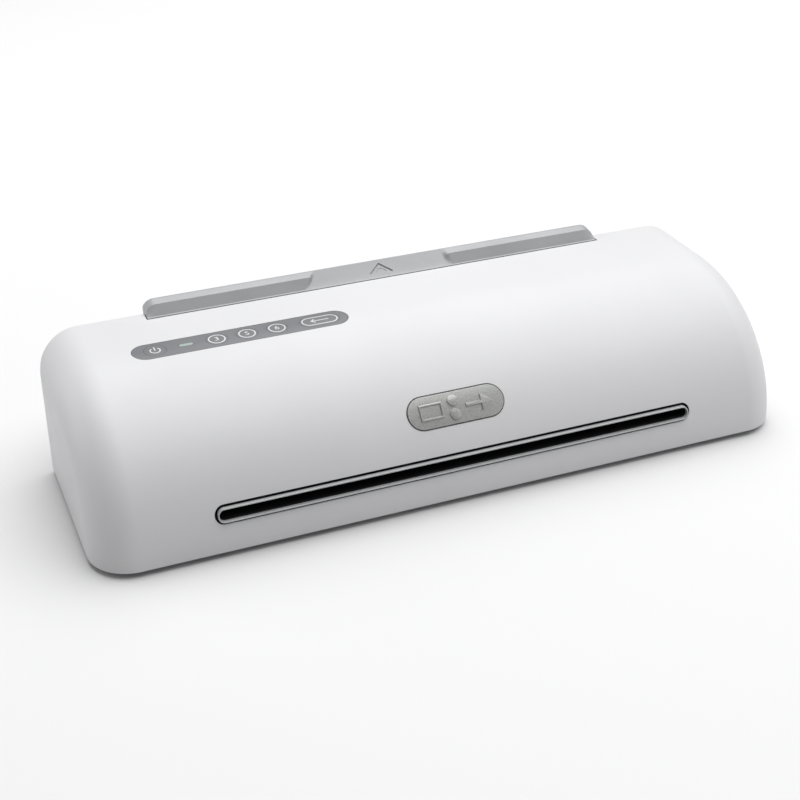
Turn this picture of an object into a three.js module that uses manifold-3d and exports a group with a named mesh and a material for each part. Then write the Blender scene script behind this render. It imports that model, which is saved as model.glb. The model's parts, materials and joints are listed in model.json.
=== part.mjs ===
// Pouch laminator: a white curved cover on a flat base, with a folding input tray
// at the rear, an exit slot at the front and a heated roller pair between them.
// Millimetres, +Z up. The model group is measured from the front face (Y = 0) and
// from the bottom edge of the body (Z = 0), with X = 0 at mid length.
import * as THREE from 'three';
import { mergeVertices } from 'three/addons/utils/BufferGeometryUtils.js';
import Module from 'manifold-3d';

const wasm = await Module();
wasm.setup();

// ---- driving dimensions -------------------------------------------------------
const LENGTH = 364;
const BASE_DEPTH = 103;          // bottom edge, front to rear
const ARC_DEPTH = 75;            // quarter ellipse of the front, along Y
const ARC_HEIGHT = 69.3;         // and along Z
const REAR_LEAN = 0.228;         // rear face, Y per Z
const TOP_FALL = 1.0;            // the top drops this much to its rear edge
const END_RADIUS = 20.6;         // rounding of both ends along the front and top
const END_DRAFT = 0.03;          // end faces lean in, X per Z
const EDGE_RADIUS = 4;           // rounding of the top's rear edge
const WALL = 2.6;
const GAP = 0.3;                 // between touching pieces
const FOOT_HEIGHT = 3;
const BASE_PLATE = 2.6;          // thickness of the base's floor

const PATH_Z = 20;               // pouch path through the rollers
const PATH_HALF = 118;           // half width of the pouch path
const ROLLER_Y = 50;
const ROLLER_RADIUS = 7;
const SHAFT_RADIUS = 3;
const CENTRE_DISTANCE = 2 * ROLLER_RADIUS + GAP;
const LOWER_Z = PATH_Z - CENTRE_DISTANCE / 2;
const UPPER_Z = PATH_Z + CENTRE_DISTANCE / 2;

const SLOT_HALF = 125.2;         // exit slot in the cover
const SLOT_LOW = 14.3;
const SLOT_HIGH = 23.6;
const THROAT_LOW = 15.9;         // opening of the exit trim
const THROAT_HIGH = 21.5;

const TRAY_HALF = 125.5;
const TRAY_PROUD = 2.4;
const TRAY_TOP = 74.4;
const TRAY_FRONT = 109.2;
const HINGE_Y = 104.6;
const HINGE_Z = 13.5;
const KNUCKLE_RADIUS = 3.6;
const PIN_RADIUS = 1.5;

const PANEL_X = -87.3;           // control strip
const PANEL_Y = 75.6;
const PANEL_LENGTH = 108.6;
const PANEL_WIDTH = 14.2;
const KEY_PITCH = 15.2;
const KEY_FIRST_X = -130.4;
const KEY_RADIUS = 5.3;
const REVERSE_X = -47.5;
const REVERSE_LENGTH = 20.4;
const LENS_LENGTH = 7;
const LENS_WIDTH = 2.4;

const BADGE_LENGTH = 50.6;
const BADGE_WIDTH = 16.4;
const BADGE_Y = 15.5;

const FRAME_X = 126.5;           // inner face of each side plate
const FRAME_SHEET = 2;

// ---- solids -------------------------------------------------------------------
function solid(geometry) {
  const bare = geometry.clone();
  bare.deleteAttribute('normal');
  bare.deleteAttribute('uv');
  const merged = mergeVertices(bare, 1e-4);
  return new wasm.Manifold(new wasm.Mesh({
    numProp: 3,
    vertProperties: new Float32Array(merged.attributes.position.array),
    triVerts: new Uint32Array(merged.index.array),
  }));
}

function geometryOf(body) {
  const mesh = body.getMesh();
  const geometry = new THREE.BufferGeometry();
  geometry.setAttribute('position', new THREE.BufferAttribute(new Float32Array(mesh.vertProperties), 3));
  geometry.setIndex(new THREE.BufferAttribute(new Uint32Array(mesh.triVerts), 1));
  return geometry;
}

const join = (...bodies) => bodies.reduce((all, body) => all.add(body));
const cut = (body, ...tools) => tools.reduce((rest, tool) => rest.subtract(tool), body);

function box(x0, x1, y0, y1, z0, z1) {
  const geometry = new THREE.BoxGeometry(x1 - x0, y1 - y0, z1 - z0);
  geometry.translate((x0 + x1) / 2, (y0 + y1) / 2, (z0 + z1) / 2);
  return solid(geometry);
}

const BASIS = {
  x: new THREE.Matrix4().makeBasis(
    new THREE.Vector3(0, 1, 0), new THREE.Vector3(0, 0, 1), new THREE.Vector3(1, 0, 0)),
  y: new THREE.Matrix4().makeBasis(
    new THREE.Vector3(1, 0, 0), new THREE.Vector3(0, 0, 1), new THREE.Vector3(0, -1, 0)),
  z: new THREE.Matrix4(),
};

// A shape extruded along x, y or z from low to high. Its two axes are the other
// two: (Y, Z) along x, (X, Z) along y and (X, Y) along z.
function prism(axis, shape, low, high, curveSegments = 8) {
  const geometry = new THREE.ExtrudeGeometry(shape, {
    depth: high - low, bevelEnabled: false, curveSegments,
  });
  geometry.translate(0, 0, axis === 'y' ? -high : low);
  geometry.applyMatrix4(BASIS[axis]);
  return solid(geometry);
}

const polygon = (points) => new THREE.Shape(points.map(([u, v]) => new THREE.Vector2(u, v)));

function disc(u, v, radius) {
  const shape = new THREE.Shape();
  shape.absarc(u, v, radius, 0, 2 * Math.PI);
  return shape;
}

function stadium(u, v, length, width) {
  const half = (length - width) / 2;
  const shape = new THREE.Shape();
  shape.absarc(u + half, v, width / 2, -Math.PI / 2, Math.PI / 2);
  shape.absarc(u - half, v, width / 2, Math.PI / 2, 1.5 * Math.PI);
  shape.closePath();
  return shape;
}

const rod = (axis, u, v, radius, low, high, segments = 8) =>
  prism(axis, disc(u, v, radius), low, high, segments);

function tube(axis, u, v, outer, inner, low, high, segments = 8) {
  const shape = disc(u, v, outer);
  shape.holes.push(disc(u, v, inner));
  return prism(axis, shape, low, high, segments);
}

// ---- the body's outer form ----------------------------------------------------
const rearAt = (z) => BASE_DEPTH + REAR_LEAN * z;

const ARC_STEPS = 14;
const EDGE_STEPS = 4;
const END_STEPS = 6;

// Section of the body in Y and Z, set in from the surface by wall, and by inset
// more on the front and top only.
function bodySection(wall, inset, floor) {
  const depth = ARC_DEPTH - wall - inset;
  const height = ARC_HEIGHT - wall - inset;
  const rearWall = wall * Math.hypot(1, REAR_LEAN);
  const points = [];
  if (floor < 0) points.push([wall + inset, floor]);
  for (let i = 0; i <= ARC_STEPS; i += 1) {
    const angle = (i / ARC_STEPS) * (Math.PI / 2);
    points.push([ARC_DEPTH - depth * Math.cos(angle), height * Math.sin(angle)]);
  }
  const cornerZ = height - TOP_FALL;
  const corner = new THREE.Vector2(rearAt(cornerZ) - rearWall, cornerZ);
  const edge = new THREE.QuadraticBezierCurve(
    new THREE.Vector2(corner.x - EDGE_RADIUS, cornerZ + TOP_FALL * 0.09), corner,
    new THREE.Vector2(rearAt(cornerZ - EDGE_RADIUS) - rearWall, cornerZ - EDGE_RADIUS));
  edge.getPoints(EDGE_STEPS).forEach((p) => points.push([p.x, p.y]));
  points.push([rearAt(floor) - rearWall, floor]);
  return points;
}

// The whole body as a closed solid, set in from the outer surface by wall.
function bodySolid(wall, floor = 0) {
  const radius = END_RADIUS - wall;
  const half = LENGTH / 2 - wall;
  const ends = [];
  for (let i = 0; i <= END_STEPS; i += 1) {
    const angle = (i / END_STEPS) * (Math.PI / 2);
    ends.push({ from: radius * (1 - Math.cos(angle)), inset: radius * (1 - Math.sin(angle)) });
  }
  const left = ends.map(({ from, inset }) => ({ x: -half + from, inset }));
  const right = ends.map(({ from, inset }) => ({ x: half - from, inset })).reverse();
  const vertices = [];
  const rings = [...left, ...right].map(({ x, inset }) => bodySection(wall, inset, floor)
    .map(([y, z]) => {
      vertices.push(x * (1 - (END_DRAFT * z) / (LENGTH / 2)), y, z);
      return vertices.length / 3 - 1;
    }));
  const faces = [];
  rings.slice(1).forEach((ring, r) => {
    const before = rings[r];
    ring.forEach((vertex, i) => {
      const j = (i + 1) % ring.length;
      faces.push(before[i], vertex, before[j], before[j], vertex, ring[j]);
    });
  });
  const first = rings[0];
  const last = rings[rings.length - 1];
  for (let i = 1; i < first.length - 1; i += 1) {
    faces.push(first[0], first[i], first[i + 1], last[0], last[i + 1], last[i]);
  }
  const geometry = new THREE.BufferGeometry();
  geometry.setAttribute('position', new THREE.Float32BufferAttribute(vertices, 3));
  geometry.setIndex(faces);
  return solid(geometry);
}

// The layer of the body between two depths below its surface.
const skin = (outer, inner) => bodySolid(outer, -5).subtract(bodySolid(inner, -10));

// ---- gears --------------------------------------------------------------------
const PRESSURE_ANGLE = (20 * Math.PI) / 180;
const BACKLASH = 0.3;

// Involute spur gear outline, with one tooth centred at the angle phase.
function gearShape(u, v, teeth, module, phase) {
  const pitchRadius = (module * teeth) / 2;
  const baseRadius = pitchRadius * Math.cos(PRESSURE_ANGLE);
  const rootRadius = pitchRadius - 1.25 * module;
  const tipRadius = pitchRadius + 0.9 * module;
  const involute = (radius) => {
    const t = Math.sqrt(Math.max(0, (radius / baseRadius) ** 2 - 1));
    return t - Math.atan(t);
  };
  const halfAtPitch = (Math.PI / 2 - BACKLASH / module) / teeth;
  const halfAt = (radius) => halfAtPitch + involute(pitchRadius) - involute(radius);
  const start = Math.max(rootRadius, baseRadius);
  const radii = [rootRadius, start, (start + tipRadius) / 2, tipRadius]
    .filter((radius, i, all) => i === 0 || radius > all[i - 1] + 0.01);
  const points = [];
  for (let tooth = 0; tooth < teeth; tooth += 1) {
    const centre = phase + (2 * Math.PI * tooth) / teeth;
    const flank = radii.map((radius) => ({ radius, half: halfAt(radius) }));
    flank.forEach(({ radius, half }) => points.push([radius, centre - half]));
    flank.reverse().forEach(({ radius, half }) => points.push([radius, centre + half]));
  }
  return polygon(points.map(([radius, angle]) =>
    [u + radius * Math.cos(angle), v + radius * Math.sin(angle)]));
}

function gear({ y, z, teeth, module, phase, bore, low, high }) {
  const shape = gearShape(y, z, teeth, module, phase);
  shape.holes.push(disc(y, z, bore));
  return prism('x', shape, low, high, 5);
}

// The phase that puts a gap of the second gear on a tooth of the first, where
// towards is the direction from the first gear's centre to the second's.
const meshPhase = (firstPhase, firstTeeth, secondTeeth, towards) =>
  towards + Math.PI + Math.PI / secondTeeth + ((towards - firstPhase) * firstTeeth) / secondTeeth;

// ---- assembly -----------------------------------------------------------------
const WHITE = { color: 0xf4f4f6, roughness: 0.18, metalness: 0 };
const TRAY_GREY = { color: 0x9ba0a3, roughness: 0.35, metalness: 0 };
const PANEL_GREY = { color: 0x8f9496, roughness: 0.45, metalness: 0 };
const BASE_GREY = { color: 0x55585b, roughness: 0.7, metalness: 0 };
const TRIM_GREY = { color: 0x8b9093, roughness: 0.3, metalness: 0.4 };
const BADGE_METAL = { color: 0xa5a6a0, roughness: 0.3, metalness: 0.9 };
const STEEL = { color: 0xb4b7ba, roughness: 0.35, metalness: 1 };
const ALUMINIUM = { color: 0xc4c7c9, roughness: 0.4, metalness: 1 };
const BRASS = { color: 0xb9975b, roughness: 0.35, metalness: 1 };
const BLACK_PLASTIC = { color: 0x1d1e20, roughness: 0.55, metalness: 0 };
const RUBBER = { color: 0x2b2c2e, roughness: 0.85, metalness: 0 };
const SILICONE = { color: 0x8d3b32, roughness: 0.7, metalness: 0 };
const NYLON = { color: 0xe7e4da, roughness: 0.5, metalness: 0 };
const BOARD_GREEN = { color: 0x2f6b45, roughness: 0.5, metalness: 0 };
const LENS = { color: 0xd9efe0, roughness: 0.15, metalness: 0 };

const model = new THREE.Group();

function place(name, body, finish) {
  const mesh = new THREE.Mesh(geometryOf(body), new THREE.MeshStandardMaterial(finish));
  mesh.name = name;
  model.add(mesh);
}

const SIDES = [['left', -1], ['right', 1]];

// Case screws and the cover's posts share these places.
const POST_X = 163;
const POST_PLACES = [['front_left', -POST_X, 24], ['front_right', POST_X, 24],
  ['rear_left', -POST_X, 95.4], ['rear_right', POST_X, 95.4]];
const POST_RADIUS = 4;
const SCREW_RADIUS = 1.5;

// Spread of values over low .. high, both included.
const spread = (low, high, count) =>
  Array.from({ length: count }, (_, i) => low + ((high - low) * i) / (count - 1));

// ---- cover and what sits in it ------------------------------------------------
const slotCentre = (SLOT_LOW + SLOT_HIGH) / 2;
const slotHeight = SLOT_HIGH - SLOT_LOW;
const POCKET_DEPTH = 1.4;
const badgeCentre = new THREE.Vector3(
  0, BADGE_Y, ARC_HEIGHT * Math.sqrt(1 - ((ARC_DEPTH - BADGE_Y) / ARC_DEPTH) ** 2));
const badgeNormal = new THREE.Vector3(
  0, (BADGE_Y - ARC_DEPTH) / ARC_DEPTH ** 2, badgeCentre.z / ARC_HEIGHT ** 2).normalize();

// Stadium prism square to the front surface at the badge.
function badgePrism(clearance) {
  const shape = stadium(0, 0, BADGE_LENGTH + 2 * clearance, BADGE_WIDTH + 2 * clearance);
  const geometry = new THREE.ExtrudeGeometry(shape, { depth: 12, bevelEnabled: false, curveSegments: 8 });
  geometry.translate(0, 0, -6);
  const along = new THREE.Vector3(1, 0, 0);
  geometry.applyMatrix4(new THREE.Matrix4().makeBasis(
    along, new THREE.Vector3().crossVectors(badgeNormal, along), badgeNormal));
  geometry.translate(badgeCentre.x, badgeCentre.y, badgeCentre.z);
  return solid(geometry);
}

const panelPrism = (clearance, low, high) => prism(
  'z', stadium(PANEL_X, PANEL_Y, PANEL_LENGTH + 2 * clearance, PANEL_WIDTH + 2 * clearance), low, high, 6);

const keyX = (index) => KEY_FIRST_X + index * KEY_PITCH;
const KEYS = [
  ['power_key', keyX(0), 2 * KEY_RADIUS],
  ['thickness_key_3', keyX(2), 2 * KEY_RADIUS],
  ['thickness_key_5', keyX(3), 2 * KEY_RADIUS],
  ['thickness_key_6', keyX(4), 2 * KEY_RADIUS],
  ['reverse_key', REVERSE_X, REVERSE_LENGTH],
];
const BOARD_Z = 58.6;            // underside of the control board
const BOARD_SHEET = 1.6;
const SWITCH_TOP = 62.6;
const KEY_TRAVEL_ROOM = 1.0;
const INLET_X = -144;
const INLET_Z = 20;
const INLET_HALF = 10;
const INLET_HALF_HEIGHT = 5.5;
const TRAY_SPACE = TRAY_HALF + 0.6;

function topCover() {
  const posts = POST_PLACES.map(([, x, y]) =>
    rod('z', x, y, POST_RADIUS, BASE_PLATE + 2 + GAP, ARC_HEIGHT, 6)
      .intersect(bodySolid(WALL / 2, -5)));
  const boardPosts = [-1, 1].map((side) =>
    rod('z', PANEL_X + side * 58, PANEL_Y, 2.5, BOARD_Z + BOARD_SHEET + GAP, ARC_HEIGHT - 1, 5));
  const shell = cut(bodySolid(0), bodySolid(WALL, -5));
  const body = join(shell, ...posts, ...boardPosts);
  const slot = prism('y', stadium(0, slotCentre, 2 * SLOT_HALF, slotHeight), -5, 18);
  const pocketFloor = bodySolid(POCKET_DEPTH + 2 * GAP, -5);
  const badgePocket = badgePrism(GAP).subtract(pocketFloor);
  const panelPocket = panelPrism(GAP, 60, 80).subtract(pocketFloor);
  const panelWindow = panelPrism(-1.2, 60, 80);
  const trayTop = box(-TRAY_SPACE, TRAY_SPACE, TRAY_FRONT - 0.5, 140, 58, 90);
  const trayBack = box(-TRAY_SPACE, TRAY_SPACE, 97, 140, -5, 65);
  const inlet = box(INLET_X - INLET_HALF - GAP, INLET_X + INLET_HALF + GAP, 95, 120,
    INLET_Z - INLET_HALF_HEIGHT - GAP, INLET_Z + INLET_HALF_HEIGHT + GAP);
  const screwHoles = POST_PLACES.map(([, x, y]) =>
    rod('z', x, y, SCREW_RADIUS + GAP, -5, 16, 4));
  return cut(body, slot, badgePocket, panelPocket, panelWindow, trayTop, trayBack, inlet, ...screwHoles);
}

function exitBezel() {
  const face = prism('y', stadium(0, slotCentre, 2 * (SLOT_HALF - GAP), slotHeight - 2 * GAP), -3, 15.5);
  const flange = prism('y', stadium(0, slotCentre, 2 * (SLOT_HALF + 3), slotHeight + 6), -3, 12.5)
    .intersect(bodySolid(WALL + GAP, -5));
  const body = join(face.intersect(bodySolid(-0.4, -5)), flange);
  const throatCentre = (THROAT_LOW + THROAT_HIGH) / 2;
  const throat = prism('y', stadium(0, throatCentre, 2 * (PATH_HALF + 3), THROAT_HIGH - THROAT_LOW), -5, 20);
  const mouth = prism('x', polygon([[-4, THROAT_LOW - 1.2], [2, THROAT_LOW - 0.8], [11, THROAT_LOW + 0.1],
    [11, THROAT_HIGH], [-4, THROAT_HIGH]]), -PATH_HALF, PATH_HALF);
  return cut(body, throat, mouth);
}

function controlPanel() {
  const plate = panelPrism(0, 60, 80)
    .intersect(skin(0.05, POCKET_DEPTH));
  const holes = KEYS.map(([, x, length]) =>
    prism('z', stadium(x, PANEL_Y, length + 2 * GAP, 2 * (KEY_RADIUS + GAP)), 60, 80, 5));
  const lensHole = prism('z', stadium(keyX(1), PANEL_Y, LENS_LENGTH + 2 * GAP, LENS_WIDTH + 2 * GAP), 60, 80, 3);
  return cut(plate, ...holes, lensHole);
}

// Key cap with a wider flange below the panel and a stem down to its switch.
function keyCap(x, length) {
  const cap = prism('z', stadium(x, PANEL_Y, length, 2 * KEY_RADIUS), 65.4, 80, 5).intersect(bodySolid(-0.05));
  const flange = prism('z', stadium(x, PANEL_Y, length + 0.8, 2 * KEY_RADIUS + 0.8), 64.8, 66.6, 5);
  const stem = rod('z', x, PANEL_Y, 1.6, SWITCH_TOP + KEY_TRAVEL_ROOM, 65.2, 5);
  return join(cap, flange, stem);
}

function controlBoard() {
  const board = box(PANEL_X - 61, PANEL_X + 61, PANEL_Y - 9, PANEL_Y + 9, BOARD_Z, BOARD_Z + BOARD_SHEET);
  const switches = KEYS.map(([, x]) =>
    box(x - 3, x + 3, PANEL_Y - 3, PANEL_Y + 3, BOARD_Z + 1, SWITCH_TOP));
  const lamp = rod('z', keyX(1), PANEL_Y, 1, BOARD_Z + 1, 64, 4);
  const plug = box(PANEL_X - 8, PANEL_X + 8, PANEL_Y - 8.5, PANEL_Y - 4, BOARD_Z - 5, BOARD_Z + 0.5);
  return join(board, ...switches, lamp, plug);
}

place('top_cover', topCover(), WHITE);
place('exit_bezel', exitBezel(), TRIM_GREY);
place('badge_plate', badgePrism(0).intersect(skin(0.2, POCKET_DEPTH)), BADGE_METAL);
place('control_panel', controlPanel(), PANEL_GREY);
KEYS.forEach(([name, x, length]) => place(name, keyCap(x, length), PANEL_GREY));
place('ready_lens', join(
  prism('z', stadium(keyX(1), PANEL_Y, LENS_LENGTH, LENS_WIDTH), 65.4, 80, 3).intersect(bodySolid(0)),
  prism('z', stadium(keyX(1), PANEL_Y, LENS_LENGTH + 1.4, LENS_WIDTH + 1.4), 64.6, 66.6, 3)), LENS);
place('control_board', controlBoard(), BOARD_GREEN);

// ---- base, feet and screws ----------------------------------------------------
const BASE_INSET = WALL + 0.5;
const VENT_ROWS = spread(-12, 12, 5);
const FOOT_RADIUS = 7;
const FEET = [['front_left', -140, 30], ['front_right', 140, 30],
  ['rear_left', -140, 86], ['rear_right', 140, 86]];
const FOOT_POCKET = 1.2;
const KNUCKLE_X = 112.8;         // inner end of each tray knuckle of the base
const KNUCKLE_END = 118.2;

function baseTray() {
  const plate = bodySolid(BASE_INSET, -5).intersect(box(-190, 190, -5, 130, 0, BASE_PLATE));
  const rim = bodySolid(BASE_INSET, -5).subtract(bodySolid(BASE_INSET + 2, -10))
    .intersect(box(-190, 190, -5, 130, 0, 9));
  const rimGap = box(-TRAY_SPACE - 8, TRAY_SPACE + 8, 94, 130, BASE_PLATE, 20);
  const rearWall = box(-TRAY_SPACE + 0.6, TRAY_SPACE - 0.6, 95, 102.6, 0, 8.4)
    .subtract(box(-TRAY_SPACE, TRAY_SPACE, 90, 100.4, BASE_PLATE, 20));
  const knuckles = [];
  SIDES.forEach(([, side]) => {
    const low = Math.min(side * KNUCKLE_X, side * KNUCKLE_END);
    const high = low + KNUCKLE_END - KNUCKLE_X;
    const web = polygon([[100.6, 1], [102.6, 1], [HINGE_Y + 2.6, HINGE_Z - 2.4],
      [HINGE_Y, HINGE_Z + 3], [102, HINGE_Z + 2]]);
    knuckles.push(prism('x', web, low, high), rod('x', HINGE_Y, HINGE_Z, KNUCKLE_RADIUS, low, high, 6));
  });
  const collars = POST_PLACES.map(([, x, y]) => rod('z', x, y, 4.6, 0.5, BASE_PLATE + 2, 6));
  const boardPosts = [[-170, 35], [-136, 35], [-170, 80], [-136, 80]]
    .map(([x, y]) => rod('z', x, y, 2.2, 1, 7.7, 4));
  const postRoom = POST_PLACES.map(([, x, y]) => rod('z', x, y, POST_RADIUS + GAP, BASE_PLATE + 2, 20, 6));
  const body = join(cut(join(plate, rim), rimGap, ...postRoom), rearWall, ...knuckles, ...collars, ...boardPosts);
  const pins = rod('x', HINGE_Y, HINGE_Z, PIN_RADIUS + GAP, -TRAY_HALF, TRAY_HALF, 5);
  const screws = POST_PLACES.flatMap(([, x, y]) => [
    rod('z', x, y, SCREW_RADIUS + GAP, -5, 16, 4), rod('z', x, y, 3 + GAP, -5, 1.8, 4)]);
  const footPockets = FEET.map(([, x, y]) => rod('z', x, y, FOOT_RADIUS + GAP, -5, FOOT_POCKET, 6));
  const vents = [-1, 1].flatMap((side) => VENT_ROWS.map((step) =>
    box(side * 158 + step - 1.2, side * 158 + step + 1.2, 46, 72, -5, 12)));
  return cut(body, pins, ...screws, ...footPockets, ...vents);
}

place('base_tray', baseTray(), BASE_GREY);
FEET.forEach(([name, x, y]) =>
  place(`foot_${name}`, rod('z', x, y, FOOT_RADIUS, -FOOT_HEIGHT, FOOT_POCKET - GAP, 6), RUBBER));
POST_PLACES.forEach(([name, x, y]) => place(`case_screw_${name}`, join(
  rod('z', x, y, SCREW_RADIUS, 0.6, 14, 4), rod('z', x, y, 3, 0.2, 1.5, 4)), STEEL));

// ---- input tray and the wall behind it ----------------------------------------
const TRAY_FOOT = 11;
const SCOOP_HALF = 36.5;

function inputTray() {
  const inner = (z) => [rearAt(z) - 0.2, z];
  const outer = (z) => [rearAt(z) + TRAY_PROUD, z];
  const section = polygon([
    [TRAY_FRONT, 66.6], [TRAY_FRONT, 68.7], [TRAY_FRONT + 0.8, 69.4], [TRAY_FRONT + 4.8, TRAY_TOP - 0.8],
    [rearAt(TRAY_TOP) - 1.8, TRAY_TOP], [rearAt(TRAY_TOP) + 0.4, TRAY_TOP - 0.7],
    [rearAt(TRAY_TOP) + 1.6, TRAY_TOP - 2.6],
    outer(TRAY_FOOT + 1.2), [rearAt(TRAY_FOOT) + 1.2, TRAY_FOOT], inner(TRAY_FOOT), inner(63.5),
    [rearAt(66.6) - 1.6, 66.6]]);
  const plate = prism('x', section, -TRAY_HALF, TRAY_HALF);
  const corners = SIDES.map(([, side]) => {
    const shape = new THREE.Shape();
    const edge = side * (TRAY_HALF + 1);
    const radius = side * 7;
    shape.moveTo(edge, TRAY_TOP + 2);
    shape.lineTo(edge - radius - side, TRAY_TOP + 2);
    shape.lineTo(edge - radius - side, TRAY_TOP + 0.2);
    shape.quadraticCurveTo(edge - side, TRAY_TOP + 0.2, edge - side, 68.7);
    shape.lineTo(edge, 68.7);
    return prism('y', shape, 100, 130, 5);
  });
  const scoop = prism('x', polygon([[TRAY_FRONT - 1, 69.9], [TRAY_FRONT + 1.6, 69.9],
    [TRAY_FRONT + 7.4, TRAY_TOP - 0.9], [TRAY_FRONT + 7.4, TRAY_TOP + 2], [TRAY_FRONT - 1, TRAY_TOP + 2]]),
  -SCOOP_HALF, SCOOP_HALF);
  const knuckleRoom = SIDES.map(([, side]) => box(
    side * (KNUCKLE_X + (side < 0 ? 6 : -0.6)), side * (KNUCKLE_X + (side < 0 ? -0.6 : 6)),
    100, 112, 5, HINGE_Z + KNUCKLE_RADIUS + 1.6));
  const ears = SIDES.map(([, side]) => {
    const low = Math.min(side * 119, side * 124.6);
    return rod('x', HINGE_Y, HINGE_Z, KNUCKLE_RADIUS, low, low + 5.6, 6);
  });
  const bores = rod('x', HINGE_Y, HINGE_Z, PIN_RADIUS + GAP, -TRAY_HALF - 2, TRAY_HALF + 2, 5);
  const ribs = spread(-96, 96, 5).map((x) => prism('x', polygon([
    inner(24), inner(60), [rearAt(60) - 1.4, 59], [rearAt(24) - 1.4, 25]]), x - 0.8, x + 0.8));
  return cut(join(cut(plate, ...corners, scoop, ...knuckleRoom), ...ears, ...ribs), bores);
}

const FUNNEL_LOW = 16.8;
const FUNNEL_HIGH = 25;

function rearPanel() {
  const section = polygon([[98.4, 9], [101, 9], [101, 60.8], [107.7, 63.2], [107.7, 65.5], [105, 65.5],
    [98.4, 63]]);
  const wall = prism('x', section, -TRAY_HALF, TRAY_HALF);
  const funnel = prism('x', polygon([[97, FUNNEL_LOW], [98.8, FUNNEL_LOW], [102, FUNNEL_LOW - 3.2],
    [102, FUNNEL_HIGH + 4], [98.8, FUNNEL_HIGH], [97, FUNNEL_HIGH]]), -PATH_HALF + 1, PATH_HALF - 1);
  const knuckleRoom = SIDES.map(([, side]) => box(
    Math.min(side * 111.8, side * 126), Math.max(side * 111.8, side * 126), 99.8, 103, 5, 19.2));
  return cut(wall, funnel, ...knuckleRoom);
}

place('input_tray', inputTray(), TRAY_GREY);
SIDES.forEach(([name, side]) => {
  const low = Math.min(side * 113, side * 124.4);
  place(`tray_pin_${name}`, rod('x', HINGE_Y, HINGE_Z, PIN_RADIUS, low, low + 11.4, 5), STEEL);
});
place('rear_panel', rearPanel(), TRAY_GREY);

// ---- pouch guides -------------------------------------------------------------
const GUIDE_HALF = 117.4;
const guide = (points) => prism('x', polygon(points), -GUIDE_HALF, GUIDE_HALF);

// Each guide has a flat lip by the rollers. The feed guides spread towards the rear, and
// the exit guides lead down to the trim's opening.
const FEED_Y = [61, 66, 98];
const EXIT_Y = [39, 34, 16];
const GUIDE_SHEET = 1.5;
const NIP_ROOM = 2;

function guidePair(prefix, stations, lowEnd, highEnd) {
  const [lip, bend, far] = stations;
  const lower = [[lip, PATH_Z - NIP_ROOM], [bend, PATH_Z - NIP_ROOM], [far, lowEnd]];
  const upper = [[lip, PATH_Z + NIP_ROOM], [bend, PATH_Z + NIP_ROOM], [far, highEnd]];
  const sheet = (line, drop) => [...line, ...line.map(([y, z]) => [y, z + drop]).reverse()];
  place(`${prefix}_lower`, guide(sheet(lower, -GUIDE_SHEET)), BLACK_PLASTIC);
  place(`${prefix}_upper`, guide(sheet(upper, GUIDE_SHEET)), BLACK_PLASTIC);
}

guidePair('feed_guide', FEED_Y, FUNNEL_LOW - 0.4, FUNNEL_HIGH + 0.4);
guidePair('exit_guide', EXIT_Y, THROAT_LOW + 0.3, THROAT_HIGH - 0.1);

// ---- side plates, rollers, bushes and springs ---------------------------------
const BUSH_RADIUS = 5;
const FLANGE_RADIUS = 6.6;
const SLOT_TOP = 46.6;
const IDLER_TEETH = 30;
const DRIVE_TEETH = 18;
const PINION_TEETH = 12;
const ROLLER_TEETH = 14;
const DRIVE_MODULE = 1;
const ROLLER_MODULE = CENTRE_DISTANCE / ROLLER_TEETH;
const idlerDistance = (DRIVE_MODULE * (IDLER_TEETH + DRIVE_TEETH)) / 2;
const pinionDistance = (DRIVE_MODULE * (IDLER_TEETH + PINION_TEETH)) / 2;
const IDLER_RISE = 9;
const idlerY = ROLLER_Y + Math.sqrt(idlerDistance ** 2 - IDLER_RISE ** 2);
const idlerZ = LOWER_Z + IDLER_RISE;
const motorZ = idlerZ + pinionDistance;

function sideFrame(side) {
  const low = Math.min(side * FRAME_X, side * (FRAME_X + FRAME_SHEET));
  const plate = prism('x', polygon([[20, 3], [97, 3], [97, 54], [37, 52], [20, 36]]), low, low + FRAME_SHEET);
  const tabs = [[24, 38], [66, 90]].map(([from, to]) =>
    box(Math.min(side * 119.5, side * 127), Math.max(side * 119.5, side * 127), from, to, 3, 4.4));
  const lowerHole = rod('x', ROLLER_Y, LOWER_Z, BUSH_RADIUS + GAP, low - 1, low + 4, 6);
  const upperHole = rod('x', ROLLER_Y, UPPER_Z, BUSH_RADIUS + GAP, low - 1, low + 4, 6);
  const springSlot = box(low - 1, low + 4, ROLLER_Y - BUSH_RADIUS - GAP, ROLLER_Y + BUSH_RADIUS + GAP,
    UPPER_Z, SLOT_TOP);
  const lightening = prism('x', polygon([[64, 30], [90, 30], [90, 46], [64, 46]]), low - 1, low + 4);
  return cut(join(plate, ...tabs), lowerHole, upperHole, springSlot, lightening);
}

function bush(side, z) {
  const hub = tube('x', ROLLER_Y, z, BUSH_RADIUS, SHAFT_RADIUS + GAP,
    Math.min(side * 125, side * 129.2), Math.max(side * 125, side * 129.2), 6);
  const flange = tube('x', ROLLER_Y, z, FLANGE_RADIUS, SHAFT_RADIUS + GAP,
    Math.min(side * 124.4, side * 126.2), Math.max(side * 124.4, side * 126.2), 6);
  return join(hub, flange);
}

const SPRING_WIRE = 0.6;
const SPRING_RADIUS = 3.4;
const SPRING_TURNS = 4;

class Helix extends THREE.Curve {
  constructor(x, low, high) {
    super();
    this.x = x;
    this.low = low;
    this.high = high;
  }

  getPoint(t, target = new THREE.Vector3()) {
    const angle = 2 * Math.PI * SPRING_TURNS * t;
    return target.set(this.x + SPRING_RADIUS * Math.cos(angle), ROLLER_Y + SPRING_RADIUS * Math.sin(angle),
      this.low + (this.high - this.low) * t);
  }
}

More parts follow.
